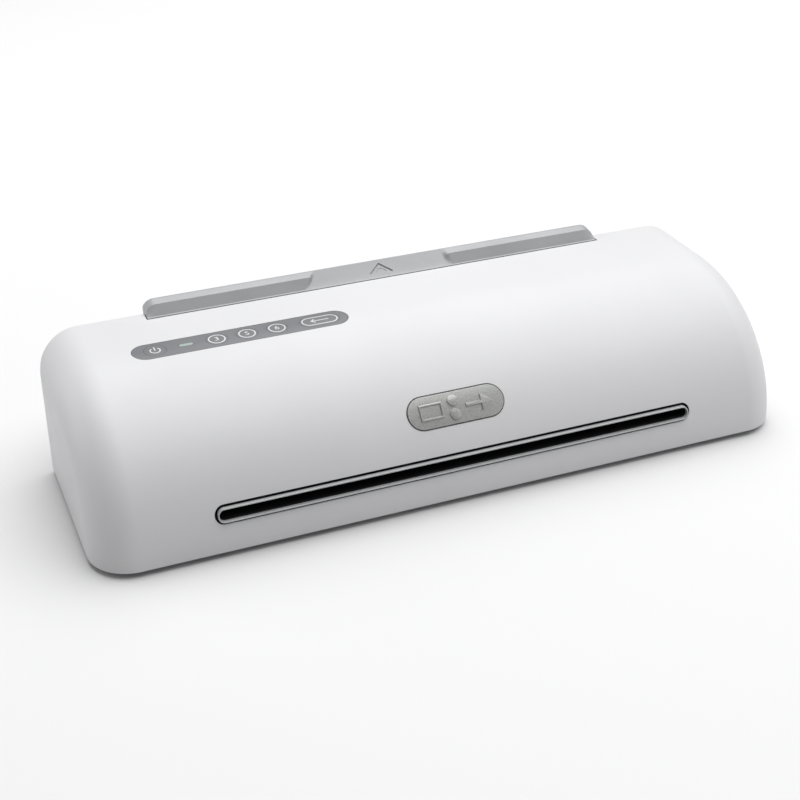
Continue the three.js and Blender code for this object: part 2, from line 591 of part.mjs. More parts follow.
function pressureSpring(side) {
  const path = new Helix(side * (FRAME_X + FRAME_SHEET / 2), UPPER_Z + FLANGE_RADIUS + 1, SLOT_TOP - 1);
  const wire = new THREE.Shape();
  spread(0, 1, 6).slice(0, 5).forEach((turn, i) => {
    const u = SPRING_WIRE * Math.cos(2 * Math.PI * turn);
    const v = SPRING_WIRE * Math.sin(2 * Math.PI * turn);
    if (i === 0) wire.moveTo(u, v);
    else wire.lineTo(u, v);
  });
  return solid(new THREE.ExtrudeGeometry(wire, { extrudePath: path, steps: 40, bevelEnabled: false }));
}

SIDES.forEach(([name, side]) => {
  place(`frame_${name}`, sideFrame(side), STEEL);
  place(`lower_bush_${name}`, bush(side, LOWER_Z), BRASS);
  place(`upper_bush_${name}`, bush(side, UPPER_Z), BRASS);
  place(`pressure_spring_${name}`, pressureSpring(side), STEEL);
});

const sleeve = (z) => tube('x', ROLLER_Y, z, ROLLER_RADIUS, SHAFT_RADIUS + GAP, -PATH_HALF, PATH_HALF, 8);
place('lower_roller', sleeve(LOWER_Z), SILICONE);
place('upper_roller', sleeve(UPPER_Z), SILICONE);
place('lower_shaft', rod('x', ROLLER_Y, LOWER_Z, SHAFT_RADIUS, -131, 143.6, 6), STEEL);
place('upper_shaft', rod('x', ROLLER_Y, UPPER_Z, SHAFT_RADIUS, -131, 139.2, 6), STEEL);

// ---- heater shoes -------------------------------------------------------------
const SHOE_INNER = ROLLER_RADIUS + 0.6;
const SHOE_OUTER = ROLLER_RADIUS + 2.4;

// Channel that wraps the side of a roller away from the nip.
function heaterShoe(z, up) {
  const reach = (65 * Math.PI) / 180;
  const middle = up * (Math.PI / 2);
  const shape = new THREE.Shape();
  shape.absarc(ROLLER_Y, z, SHOE_OUTER, middle - reach, middle + reach, false);
  shape.absarc(ROLLER_Y, z, SHOE_INNER, middle + reach, middle - reach, true);
  shape.closePath();
  return prism('x', shape, -PATH_HALF + 2, PATH_HALF - 2, 10);
}

place('lower_heater_shoe', heaterShoe(LOWER_Z, -1), ALUMINIUM);
place('upper_heater_shoe', heaterShoe(UPPER_Z, 1), ALUMINIUM);
const SHOE_TOP = UPPER_Z + SHOE_OUTER + GAP;
place('thermostat', join(rod('z', -40, ROLLER_Y, 6, SHOE_TOP, SHOE_TOP + 5, 6),
  box(-50, -30, ROLLER_Y - 3, ROLLER_Y + 3, SHOE_TOP + 1, SHOE_TOP + 2)), BLACK_PLASTIC);
place('thermal_fuse', join(rod('x', ROLLER_Y, SHOE_TOP + 2, 2, 30, 44, 6),
  rod('x', ROLLER_Y, SHOE_TOP + 2, 0.6, 22, 52, 4)), STEEL);

// ---- gear train and motor -----------------------------------------------------
const ROLLER_GEARS = [133, 138.6];
const DRIVE_GEARS = [139.6, 143.2];
const [gearLow, gearHigh] = ROLLER_GEARS;
const [driveLow, driveHigh] = DRIVE_GEARS;
const upwards = Math.PI / 2;
const towardsIdler = Math.atan2(IDLER_RISE, idlerY - ROLLER_Y);
const idlerPhase = meshPhase(towardsIdler, DRIVE_TEETH, IDLER_TEETH, towardsIdler);
const pinionPhase = meshPhase(idlerPhase, IDLER_TEETH, PINION_TEETH, upwards);
const SHAFT_BORE = SHAFT_RADIUS + GAP;
const STUD_RADIUS = 2;
const MOTOR_FACE = 147.4;
const MOTOR_RADIUS = 18.5;

place('lower_roller_gear', gear({ y: ROLLER_Y, z: LOWER_Z, teeth: ROLLER_TEETH, module: ROLLER_MODULE,
  phase: upwards, bore: SHAFT_BORE, low: gearLow, high: gearHigh }), NYLON);
place('upper_roller_gear', gear({ y: ROLLER_Y, z: UPPER_Z, teeth: ROLLER_TEETH, module: ROLLER_MODULE,
  phase: meshPhase(upwards, ROLLER_TEETH, ROLLER_TEETH, upwards), bore: SHAFT_BORE,
  low: gearLow, high: gearHigh }), NYLON);
place('lower_drive_gear', gear({ y: ROLLER_Y, z: LOWER_Z, teeth: DRIVE_TEETH, module: DRIVE_MODULE,
  phase: towardsIdler, bore: SHAFT_BORE, low: driveLow, high: driveHigh }), NYLON);
place('idler_gear', gear({ y: idlerY, z: idlerZ, teeth: IDLER_TEETH, module: DRIVE_MODULE,
  phase: idlerPhase, bore: STUD_RADIUS + GAP, low: driveLow, high: driveHigh }), NYLON);
place('idler_stud', join(rod('x', idlerY, idlerZ, STUD_RADIUS, FRAME_X + FRAME_SHEET + GAP, driveHigh + 1, 6),
  rod('x', idlerY, idlerZ, 4, FRAME_X + FRAME_SHEET + GAP, driveLow - GAP, 6)), STEEL);
place('motor_pinion', join(
  prism('x', gearShape(idlerY, motorZ, PINION_TEETH, DRIVE_MODULE, pinionPhase), driveLow, driveHigh),
  rod('x', idlerY, motorZ, 2, driveHigh - 1, MOTOR_FACE - GAP, 5)), BRASS);
place('motor', join(rod('x', idlerY, motorZ, MOTOR_RADIUS, MOTOR_FACE, MOTOR_FACE + 19, 9),
  box(MOTOR_FACE + 4, MOTOR_FACE + 14, idlerY - 5, idlerY + 5, motorZ - MOTOR_RADIUS - 3, motorZ)), ALUMINIUM);

function motorBracket() {
  const plate = prism('x', polygon([[idlerY - 20, 3], [idlerY + 20, 3], [idlerY + 20, motorZ + 16],
    [idlerY - 20, motorZ + 16]]), MOTOR_FACE - 1.8, MOTOR_FACE - GAP);
  const foot = box(MOTOR_FACE - 1.8, MOTOR_FACE + 12, idlerY - 20, idlerY + 20, 3, 4.4);
  const shaftHole = rod('x', idlerY, motorZ, 4, MOTOR_FACE - 4, MOTOR_FACE + 4, 6);
  return cut(join(plate, foot), shaftHole);
}

place('motor_bracket', motorBracket(), STEEL);

// ---- electrics in the left bay ------------------------------------------------
place('main_board', box(-174, -132.5, 30, 84, 8, 8 + BOARD_SHEET), BOARD_GREEN);
place('transformer', join(box(-168, -144, 50, 74, 10, 32), box(-164, -148, 46, 78, 12, 30)), STEEL);
place('supply_capacitor', rod('z', -160, 36, 6.5, 10, 33, 8), BLACK_PLASTIC);

const SOCKET_LENGTH = 15;
const SOCKET_HEIGHT = 8.4;
const SOCKET_DEPTH = 12;
const CONTACT_OFFSET = 4.3;

function mainsInlet() {
  const face = rearAt(INLET_Z - INLET_HALF_HEIGHT) - GAP;
  const housing = box(INLET_X - INLET_HALF, INLET_X + INLET_HALF, 88, face,
    INLET_Z - INLET_HALF_HEIGHT, INLET_Z + INLET_HALF_HEIGHT);
  const socket = prism('y', stadium(INLET_X, INLET_Z, SOCKET_LENGTH, SOCKET_HEIGHT), face - SOCKET_DEPTH, face + 5);
  const contacts = [-1, 1].map((side) => rod('y', INLET_X + side * CONTACT_OFFSET, INLET_Z, 1.2, face - SOCKET_DEPTH - 1, face - 2.5, 4));
  return join(cut(housing, socket), ...contacts);
}

place('mains_inlet', mainsInlet(), BLACK_PLASTIC);

// ---- the whole machine stands on its feet, centred on its own box -------------
const DEPTH = rearAt(TRAY_TOP) + 1.6;
model.position.set(0, -DEPTH / 2, FOOT_HEIGHT);
const machine = new THREE.Group();
machine.add(model);
machine.updateMatrixWorld(true);

export default machine;
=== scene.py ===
"""Pouch laminator: the visible shells, trim, keys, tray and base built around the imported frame.

Pieces are drawn in millimetres in the body's own axes: X = 0 at mid length, Y = 0 at the front
face, Z = 0 at the bottom edge of the body. new_piece turns them into the frame's metres."""

import json
import math
import bpy
import bmesh
import numpy as np
from mathutils import Euler, Matrix, Vector


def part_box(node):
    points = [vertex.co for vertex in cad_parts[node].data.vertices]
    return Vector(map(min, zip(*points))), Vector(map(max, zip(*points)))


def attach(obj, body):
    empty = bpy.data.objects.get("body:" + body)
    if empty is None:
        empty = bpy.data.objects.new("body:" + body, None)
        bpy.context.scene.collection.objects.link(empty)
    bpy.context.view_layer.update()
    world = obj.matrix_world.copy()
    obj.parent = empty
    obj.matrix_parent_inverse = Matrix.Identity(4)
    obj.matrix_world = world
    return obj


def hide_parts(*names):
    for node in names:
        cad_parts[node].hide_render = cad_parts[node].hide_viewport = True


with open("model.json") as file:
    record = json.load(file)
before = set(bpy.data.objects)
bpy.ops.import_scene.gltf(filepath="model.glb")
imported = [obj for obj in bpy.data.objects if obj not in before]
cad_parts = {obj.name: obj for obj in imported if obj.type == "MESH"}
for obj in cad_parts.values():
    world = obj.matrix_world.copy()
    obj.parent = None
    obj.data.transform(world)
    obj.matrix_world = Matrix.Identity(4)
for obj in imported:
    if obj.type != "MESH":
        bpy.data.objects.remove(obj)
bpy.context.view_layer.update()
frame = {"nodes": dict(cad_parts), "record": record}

MM = 0.001
cover_low, cover_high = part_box("top_cover")
ORIGIN = Vector((0, cover_low.y, cover_low.z))

# ---- driving dimensions, in millimetres ------------------------------------------
LENGTH = (cover_high.x - cover_low.x) / MM
FOOT_HEIGHT = ORIGIN.z / MM
BASE_DEPTH = 103
ARC_DEPTH = 75
ARC_HEIGHT = 69.3
REAR_LEAN = 0.228
TOP_FALL = 1.0
END_RADIUS = 20.6
END_DRAFT = 0.03
REAR_TOP_RADIUS = 4
REAR_SIDE_RADIUS = 2.2
WALL = 2.6
GAP = 0.3

SLOT_HALF = 125.2
SLOT_Z = 18.95
SLOT_HEIGHT = 9.3
BADGE = dict(length=50.6, width=16.4, y=15.5)
PANEL = dict(x=-87.3, y=75.6, length=108.6, width=14.2)
KEY_RADIUS = 5.3
KEY_PITCH = 15.2
KEY_FIRST_X = -130.4
REVERSE_X = -47.5
REVERSE_LENGTH = 20.4
TRAY_HALF = 125.5
HINGE = (104.6, 13.5)
KNUCKLE_RADIUS = 3.6
PIN_RADIUS = 1.5
PIN_HOLE = 1.8
POST_HOLE = 1.8
BELOW, ABOVE = 60, 80            # heights well clear of the cover's top face, for upright tools
SIDES = (-1, 1)


# ---- mesh helpers ------------------------------------------------------------------
def rear_at(z):
    """Y of the leaning rear face at a height."""
    return BASE_DEPTH + REAR_LEAN * z


def front_at(z):
    """Y of the rounded front at a height."""
    return ARC_DEPTH - ARC_DEPTH * math.sqrt(max(0, 1 - (z / ARC_HEIGHT) ** 2))


def span(side, inner, outer):
    """Low and high X of a stretch that lies between two distances from mid length, on one side."""
    return min(side * inner, side * outer), max(side * inner, side * outer)


def welded(mesh):
    """Joins doubled points and turns every face outward."""
    shell = bmesh.new()
    shell.from_mesh(mesh)
    bmesh.ops.remove_doubles(shell, verts=shell.verts, dist=1e-7)
    bmesh.ops.recalc_face_normals(shell, faces=shell.faces)
    shell.to_mesh(mesh)
    shell.free()


def new_piece(name, points, faces):
    mesh = bpy.data.meshes.new(name)
    mesh.from_pydata([tuple(ORIGIN + Vector(p) * MM) for p in points], [], faces)
    mesh.validate()
    welded(mesh)
    piece = bpy.data.objects.new(name, mesh)
    bpy.context.scene.collection.objects.link(piece)
    return piece


def loft(name, rings, ring_closed=True, capped=True):
    """Skin over rings of equal length. With capped false, the last ring joins the first."""
    count = len(rings[0])
    points = [p for ring in rings for p in ring]
    last = len(rings) - (1 if capped else 0)
    faces = []
    for r in range(last):
        start, following = r * count, ((r + 1) % len(rings)) * count
        for i in range(count if ring_closed else count - 1):
            j = (i + 1) % count
            faces.append((start + i, start + j, following + j, following + i))
    if capped:
        faces.append(tuple(range(count))[::-1])
        faces.append(tuple(range((len(rings) - 1) * count, len(rings) * count)))
    return new_piece(name, points, faces)


def on_axis(axis, u, v, w):
    return {"x": (w, u, v), "y": (u, w, v), "z": (u, v, w)}[axis]


def prism(axis, outline, low, high, name="tool"):
    return loft(name, [[on_axis(axis, u, v, w) for u, v in outline] for w in (low, high)])


def arc(u, v, radius, start, end, steps):
    angles = np.radians(np.linspace(start, end, steps + 1))
    return [(u + radius * math.cos(a), v + radius * math.sin(a)) for a in angles]


def circle(u, v, radius, steps=48):
    return arc(u, v, radius, 0, 360, steps)[:-1]


def stadium(u, v, length, width, steps=20):
    half = (length - width) / 2
    return arc(u + half, v, width / 2, -90, 90, steps) + arc(u - half, v, width / 2, 90, 270, steps)


def block(x0, x1, y0, y1, z0, z1, name="tool"):
    return prism("z", [(x0, y0), (x1, y0), (x1, y1), (x0, y1)], z0, z1, name)


def applied(piece):
    """Bakes the piece's modifiers into its mesh."""
    shape = bpy.data.meshes.new_from_object(piece.evaluated_get(bpy.context.evaluated_depsgraph_get()))
    piece.modifiers.clear()
    old = piece.data
    piece.data = shape
    shape.name = piece.name
    bpy.data.meshes.remove(old)
    return piece


def carve(piece, tools, operation="DIFFERENCE"):
    for tool in tools:
        modifier = piece.modifiers.new(operation, "BOOLEAN")
        modifier.operation = operation
        modifier.object = tool
        modifier.solver = "EXACT"
        applied(piece)
        bpy.data.objects.remove(tool)
    return piece


def unite(piece, *parts):
    return carve(piece, parts, "UNION")


def common(piece, *parts):
    return carve(piece, parts, "INTERSECT")


def bevelled(piece, width, segments=2, angle=32):
    modifier = piece.modifiers.new("edges", "BEVEL")
    modifier.width = width * MM
    modifier.segments = segments
    modifier.limit_method = "ANGLE"
    modifier.angle_limit = math.radians(angle)
    modifier.use_clamp_overlap = True
    return applied(piece)


def smooth(piece, angle=32):
    piece.data.shade_smooth()
    piece.data.set_sharp_from_angle(angle=math.radians(angle))
    return piece


# ---- the body's form ---------------------------------------------------------------
ARC_STEPS = 56
REAR_STEPS = 8
END_STEPS = 18


def body_section(wall, inset, rear_inset, floor):
    """Y and Z of the body's section, set in by wall, by inset on the front and top, and by
    rear_inset on the rear."""
    depth, height = ARC_DEPTH - wall - inset, ARC_HEIGHT - wall - inset
    back = wall * math.hypot(1, REAR_LEAN) + rear_inset
    points = [(wall + inset, floor)] if floor < 0 else []
    for angle in np.linspace(0, math.pi / 2, ARC_STEPS + 1):
        points.append((ARC_DEPTH - depth * math.cos(angle), height * math.sin(angle)))
    top = height - TOP_FALL
    corner = Vector((rear_at(top) - back, top))
    first = Vector((corner.x - REAR_TOP_RADIUS, top + 0.09 * TOP_FALL))
    last = Vector((rear_at(top - REAR_TOP_RADIUS) - back, top - REAR_TOP_RADIUS))
    for t in np.linspace(0, 1, REAR_STEPS + 1):
        p = first * (1 - t) ** 2 + corner * 2 * t * (1 - t) + last * t ** 2
        points.append((p.x, p.y))
    points.append((rear_at(floor) - back, floor))
    return points


def quarter_inset(radius, distance):
    """How far a rounding of that radius sets a face in, at a distance from the end."""
    if distance >= radius:
        return 0.0
    return radius - math.sqrt(radius ** 2 - (radius - distance) ** 2)


def body_solid(wall, floor=0.0, name="tool"):
    radius, half = END_RADIUS - wall, LENGTH / 2 - wall
    steps = [radius * (1 - math.cos(a)) for a in np.linspace(0, math.pi / 2, END_STEPS + 1)]
    stations = [-half + s for s in steps] + [half - s for s in reversed(steps)]
    rings = []
    for x in stations:
        distance = half - abs(x)
        section = body_section(wall, quarter_inset(radius, distance),
                               quarter_inset(max(0.3, REAR_SIDE_RADIUS - wall), distance), floor)
        rings.append([(x * (1 - END_DRAFT * z / (LENGTH / 2)), y, z) for y, z in section])
    return loft(name, rings)


def skin(outer, inner):
    """The layer of the body between two depths below its surface."""
    return carve(body_solid(outer, -5), [body_solid(inner, -10)])


def surface_level(points, wall):
    """Below zero inside the body's front and top surface, above zero outside it."""
    x, y, z = points.T
    x = x / (1 - END_DRAFT * z / (LENGTH / 2))
    radius = END_RADIUS - wall
    distance = np.clip(LENGTH / 2 - wall - np.abs(x), 0, radius)
    inset = radius - np.sqrt(np.maximum(0, radius ** 2 - (radius - distance) ** 2))
    depth, height = ARC_DEPTH - wall - inset, ARC_HEIGHT - wall - inset
    ahead = np.minimum(0, y - ARC_DEPTH) / depth
    fall = TOP_FALL * np.clip((y - ARC_DEPTH) / (rear_at(ARC_HEIGHT) - ARC_DEPTH), 0, 1)
    return np.sqrt(ahead ** 2 + ((z + fall) / height) ** 2) * height - height


def true_normals(piece, wall=0.0, closeness=0.12):
    """Gives the faces on the body's curved surface the exact normals of that surface."""
    smooth(piece)
    mesh = piece.data
    corners = np.zeros(len(mesh.loops), np.int32)
    mesh.loops.foreach_get("vertex_index", corners)
    places = np.zeros(len(mesh.vertices) * 3)
    mesh.vertices.foreach_get("co", places)
    places = (places.reshape(-1, 3)[corners] - np.array(ORIGIN)) / MM
    facing = np.zeros((len(mesh.loops), 3))
    for polygon in mesh.polygons:
        facing[polygon.loop_start:polygon.loop_start + polygon.loop_total] = polygon.normal
    step = 0.02
    slope = np.stack([surface_level(places + shift, wall) - surface_level(places - shift, wall)
                      for shift in np.eye(3) * step], 1)
    slope /= np.maximum(1e-9, np.linalg.norm(slope, axis=1))[:, None]
    on_surface = ((np.abs(surface_level(places, wall)) < closeness)
                  & ((slope * facing).sum(1) > math.cos(math.radians(9)))
                  & (places[:, 1] < rear_at(ARC_HEIGHT) - REAR_TOP_RADIUS - 1))
    slope[~on_surface] = 0
    mesh.normals_split_custom_set(slope.tolist())
    return piece


# ---- materials ---------------------------------------------------------------------
def nodes_of(name):
    material = bpy.data.materials.new(name)
    material.use_nodes = True
    tree = material.node_tree
    return material, tree, tree.nodes["Principled BSDF"]


def add(tree, kind, **values):
    node = tree.nodes.new(kind)
    for key, value in values.items():
        if key in node.inputs.keys():
            node.inputs[key].default_value = value
        else:
            setattr(node, key, value)
    return node


def noise(tree, scale, detail=4.0, stretch=(1, 1, 1), roughness=0.5):
    """Noise over the piece's own metres, at scale cells per metre, drawn out by stretch."""
    place = add(tree, "ShaderNodeTexCoord")
    mapping = add(tree, "ShaderNodeMapping", Scale=stretch)
    texture = add(tree, "ShaderNodeTexNoise", Scale=scale, Detail=detail, Roughness=roughness)
    tree.links.new(place.outputs["Object"], mapping.inputs["Vector"])
    tree.links.new(mapping.outputs["Vector"], texture.inputs["Vector"])
    return texture.outputs["Fac"]


def ramp(tree, value, low, high, start=0.35, end=0.65):
    """A colour between low and high as value goes from start to end."""
    node = add(tree, "ShaderNodeValToRGB")
    node.color_ramp.elements[0].position = start
    node.color_ramp.elements[1].position = end
    node.color_ramp.elements[0].color = low
    node.color_ramp.elements[1].color = high
    tree.links.new(value, node.inputs["Fac"])
    return node.outputs["Color"]


def spread_value(tree, value, low, high):
    """The middle of a noise's range, spread over low to high."""
    node = add(tree, "ShaderNodeMapRange")
    node.inputs["From Min"].default_value = 0.3
    node.inputs["From Max"].default_value = 0.7
    node.inputs["To Min"].default_value = low
    node.inputs["To Max"].default_value = high
    tree.links.new(value, node.inputs["Value"])
    return node.outputs["Result"]


def bump(tree, shader, height, strength, distance):
    node = add(tree, "ShaderNodeBump", Strength=strength, Distance=distance * MM)
    tree.links.new(height, node.inputs["Height"])
    tree.links.new(node.outputs["Normal"], shader.inputs["Normal"])


def shade(colour, factor):
    return tuple(min(1, c * factor) for c in colour[:3]) + (1,)


def moulded(name, colour, roughness, grain=2600, depth=0.02, vary=0.04, coat=0.0, gloss_vary=0.05):
    """Moulded plastic or rubber: fine texture, slight tone and gloss variation."""
    material, tree, shader = nodes_of(name)
    cloud = noise(tree, 38, 3)
    tree.links.new(ramp(tree, cloud, shade(colour, 1 - vary), shade(colour, 1 + vary)),
                   shader.inputs["Base Color"])
    tree.links.new(spread_value(tree, noise(tree, 120, 5), roughness - gloss_vary,
                                roughness + gloss_vary), shader.inputs["Roughness"])
    bump(tree, shader, noise(tree, grain, 2), 0.5, depth)
    shader.inputs["Coat Weight"].default_value = coat
    shader.inputs["Coat Roughness"].default_value = 0.06
    return material


def brushed(name, colour, roughness, stretch, grain=900, metallic=1.0, depth=0.01):
    """Metal with fine lines where stretch differs by axis, and an even grain where it doesn't."""
    material, tree, shader = nodes_of(name)
    lines = noise(tree, grain, 3, stretch, 0.7)
    tree.links.new(ramp(tree, lines, shade(colour, 0.86), shade(colour, 1.12)),
                   shader.inputs["Base Color"])
    tree.links.new(spread_value(tree, lines, roughness - 0.07, roughness + 0.09),
                   shader.inputs["Roughness"])
    bump(tree, shader, lines, 0.35, depth)
    shader.inputs["Metallic"].default_value = metallic
    return material


def glossy_white():
    """Satin white plastic with a faint orange peel and faint handling marks."""
    material, tree, shader = nodes_of("glossy_white")
    cloud = noise(tree, 9, 2)
    tree.links.new(ramp(tree, cloud, (0.60, 0.60, 0.61, 1), (0.625, 0.625, 0.635, 1)),
                   shader.inputs["Base Color"])
    tree.links.new(spread_value(tree, noise(tree, 60, 6, roughness=0.65), 0.42, 0.5),
                   shader.inputs["Roughness"])
    bump(tree, shader, noise(tree, 420, 1), strength=0.12, distance=0.01)
    shader.inputs["Specular IOR Level"].default_value = 0.35
    return material


def paint_print(name, colour):
    """Printed ink: flat sheen with a fine screen texture."""
    return moulded(name, colour, 0.5, grain=5200, depth=0.006, vary=0.03)


WHITE = glossy_white()
TRAY_GREY = moulded("tray_grey", (0.325, 0.334, 0.343), 0.4, grain=3400, depth=0.012, coat=0.15)
PANEL_GREY = moulded("panel_grey", (0.15, 0.155, 0.164), 0.42, grain=3600, depth=0.01)
TRIM_GREY = moulded("trim_grey", (0.36, 0.37, 0.375), 0.24, grain=1500, depth=0.006, coat=0.7)
# Near-black colour that paints the shade deep inside the exit slot and in the channel round its lip
THROAT_PAINTED_SHADE = moulded("throat_painted_shade", (0.004, 0.004, 0.0045), 0.62, grain=1800)
BADGE_METAL = brushed("badge_metal", (0.40, 0.405, 0.388), 0.32, (1, 1, 1),
                      grain=1500, metallic=0.5, depth=0.008)
BASE_GREY = moulded("base_grey", (0.055, 0.057, 0.06), 0.66, grain=1500, depth=0.05)
PRINT_WHITE = paint_print("print_white", (0.60, 0.615, 0.62))
RUBBER = moulded("foot_rubber", (0.018, 0.018, 0.019), 0.82, grain=1100, depth=0.06)
BLACK_PLASTIC = moulded("black_plastic", (0.012, 0.012, 0.013), 0.5, grain=1700, depth=0.03)
STEEL = brushed("steel", (0.52, 0.53, 0.54), 0.34, (1, 9, 9))
ALUMINIUM = brushed("aluminium", (0.63, 0.64, 0.65), 0.4, (0.2, 6, 6))
BRASS = brushed("brass", (0.55, 0.41, 0.19), 0.33, (1, 4, 4))
SILICONE = moulded("silicone", (0.30, 0.055, 0.04), 0.6, grain=900, depth=0.03, vary=0.09)
NYLON = moulded("nylon", (0.74, 0.72, 0.64), 0.45, grain=1300, depth=0.02)
BOARD_GREEN = moulded("board_green", (0.025, 0.13, 0.05), 0.4, grain=2200, depth=0.03, vary=0.2)
LENS = moulded("ready_lens", (0.36, 0.43, 0.40), 0.2, grain=1500, depth=0.004, coat=0.6)


def finish_piece(piece, body, material, replaces=()):
    piece.data.materials.append(material)
    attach(piece, body)
    if replaces:
        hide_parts(*replaces)


# ---- places shared by several pieces ------------------------------------------------
badge_z = ARC_HEIGHT * math.sqrt(1 - ((ARC_DEPTH - BADGE["y"]) / ARC_DEPTH) ** 2)
badge_normal = Vector((0, (BADGE["y"] - ARC_DEPTH) / ARC_DEPTH ** 2, badge_z / ARC_HEIGHT ** 2))
badge_normal.normalize()
badge_up = badge_normal.cross(Vector((1, 0, 0)))
POCKET_DEPTH = 1.4


def badge_prism(outline, low, high, name="tool"):
    """An outline in the badge's own plane, from low to high along its normal."""
    centre = Vector((0, BADGE["y"], badge_z))
    return loft(name, [[centre + Vector((u, 0, 0)) + badge_up * v + badge_normal * w
                        for u, v in outline] for w in (low, high)])


def badge_outline(margin):
    return stadium(0, 0, BADGE["length"] + 2 * margin, BADGE["width"] + 2 * margin, 28)


def panel_outline(margin):
    return stadium(PANEL["x"], PANEL["y"], PANEL["length"] + 2 * margin, PANEL["width"] + 2 * margin, 24)


key_x = [KEY_FIRST_X + KEY_PITCH * i for i in range(5)]
KEYS = {
    "power_key": (key_x[0], 2 * KEY_RADIUS),
    "thickness_key_3": (key_x[2], 2 * KEY_RADIUS),
    "thickness_key_5": (key_x[3], 2 * KEY_RADIUS),
    "thickness_key_6": (key_x[4], 2 * KEY_RADIUS),
    "reverse_key": (REVERSE_X, REVERSE_LENGTH),
}
POSTS = {f"{end}_{side}": (x, y) for side, x in (("left", -163), ("right", 163))
         for end, y in (("front", 24), ("rear", 95.4))}
INLET = dict(x=-144, z=20, half=10, half_height=5.5)
TRAY_SPACE = TRAY_HALF + 0.6
TRAY_FRONT = 109.2


# ---- cover -------------------------------------------------------------------------
def make_cover():
    cover = body_solid(0, name="cover_shell")
    post_radius, post_foot = 4, 4.9
    posts = [common(prism("z", circle(x, y, post_radius, 24), post_foot, ARC_HEIGHT),
                    body_solid(WALL / 2, -5)) for x, y in POSTS.values()]
    unite(carve(cover, [body_solid(WALL, -5)]), *posts)
    slot = stadium(0, SLOT_Z, 2 * SLOT_HALF, SLOT_HEIGHT, 24)
    pocket_floor = POCKET_DEPTH + 2 * GAP
    badge_pocket = carve(badge_prism(badge_outline(GAP), -6, 6), [body_solid(pocket_floor, -5)])
    panel_pocket = carve(prism("z", panel_outline(GAP), BELOW, ABOVE), [body_solid(pocket_floor, -5)])
    inlet_x, inlet_z = INLET["x"], INLET["z"]
    half, half_height = INLET["half"] + GAP, INLET["half_height"] + GAP
    carve(cover, [
        prism("y", slot, -5, 18),
        badge_pocket,
        panel_pocket,
        prism("z", panel_outline(-1.2), BELOW, ABOVE),
        block(-TRAY_SPACE, TRAY_SPACE, TRAY_FRONT - 0.5, 140, 58, 90),
        block(-TRAY_SPACE, TRAY_SPACE, 97, 140, -5, 65),
        block(inlet_x - half, inlet_x + half, 95, 120, inlet_z - half_height, inlet_z + half_height),
        *[prism("z", circle(x, y, POST_HOLE, 20), -5, 16) for x, y in POSTS.values()],
    ])
    true_normals(cover)
    finish_piece(cover, "chassis", WHITE, replaces=["top_cover"])


# ---- exit slot trim ----------------------------------------------------------------
def slot_ring(name, margin, profile, steps=28):
    """A closed ring round the slot, which its edge passes by margin. The profile's points are
    (inward, depth): inward from that edge, and depth behind the cover's front surface."""
    half, height = SLOT_HALF + margin, SLOT_HEIGHT + 2 * margin
    outline = stadium(0, SLOT_Z, 2 * half, height, steps)
    rings = []
    for x, z in outline:
        straight = half - height / 2
        middle = Vector((max(-straight, min(straight, x)), SLOT_Z))
        outward = (Vector((x, z)) - middle).normalized()
        ring = []
        for inward, depth in profile:
            spot = Vector((x, z)) - outward * inward
            ring.append((spot.x, front_at(spot.y) + depth, spot.y))
        rings.append(ring)
    return smooth(loft(name, rings, capped=False), 40)


LIP_GAP = 1.25
LIP_WIDTH = 0.75
LIP_PROUD = 1.4
LIP_REAR = 0.25
SLEEVE = 0.3
CHANNEL_DEPTH = 3
THROAT_END = 10.5
FLANGE = dict(margin=3, width=4.5, front=WALL + 0.5, rear=6)


def make_exit_trim():
    """Rounded lip standing proud of the front, with a channel around it and a throat behind it, both coloured
    near black as painted shade.
    """
    outer, inner, reach = LIP_GAP, LIP_GAP + LIP_WIDTH, LIP_WIDTH / 2
    crown = [(outer + reach * (1 - math.cos(a)), -LIP_PROUD + reach * (1 - math.sin(a)))
             for a in np.linspace(0, math.pi, 11)]
    lip = slot_ring("exit_trim_lip", 0, [(outer, LIP_REAR)] + crown + [(inner, LIP_REAR)])
    finish_piece(smooth(lip, 50), "chassis", TRIM_GREY)
    wall, seat, bore = 0.05, LIP_REAR + 0.02, inner + 0.05
    # The throat and its sleeve in the channel round the lip take the near-black painted shade
    throat = slot_ring("exit_throat", 0, [
        (wall, THROAT_END), (wall, SLEEVE), (SLEEVE, SLEEVE), (SLEEVE, CHANNEL_DEPTH),
        (outer, CHANNEL_DEPTH), (outer, seat), (bore, seat), (bore, THROAT_END)])
    flange = slot_ring("tool", FLANGE["margin"], [
        (0, FLANGE["front"]), (FLANGE["width"], FLANGE["front"]),
        (FLANGE["width"], FLANGE["rear"]), (0, FLANGE["rear"])])
    unite(throat, flange)
    smooth(throat, 40)
    finish_piece(throat, "chassis", THROAT_PAINTED_SHADE, replaces=["exit_bezel"])


# ---- badge -------------------------------------------------------------------------
PLATE_PROUD = 0.4
EMBLEM_PROUD = 1.0
EMBLEM_ROOT = 0.2
EMBLEM_SPAN = (-1.2, 1)


def rectangle(left, right, half_height):
    return [(left, -half_height), (right, -half_height), (right, half_height), (left, half_height)]


def emblem_marks():
    """Solids for the pictogram: two rollers, a sheet's outline and an arrow."""
    stroke = 1.0
    sheet_left, sheet_right, sheet_half = -19, -7, 4
    roller, roller_x, half_gap = 2.7, -1.2, 0.7
    arrow_tail, arrow_neck, arrow_tip, shaft, head = 5, 13, 19, 0.8, 4.2
    sheet = badge_prism(rectangle(sheet_left, sheet_right, sheet_half), *EMBLEM_SPAN)
    inside = rectangle(sheet_left + stroke, sheet_right - stroke, sheet_half - stroke)
    carve(sheet, [badge_prism(inside, -2, 2)])
    rollers = [badge_prism(circle(roller_x, side * (roller + half_gap), roller, 36), *EMBLEM_SPAN)
               for side in SIDES]
    arrow = badge_prism([(arrow_tail, -shaft), (arrow_neck, -shaft), (arrow_neck, -head), (arrow_tip, 0),
                         (arrow_neck, head), (arrow_neck, shaft), (arrow_tail, shaft)], *EMBLEM_SPAN)
    return [*rollers, sheet, arrow]


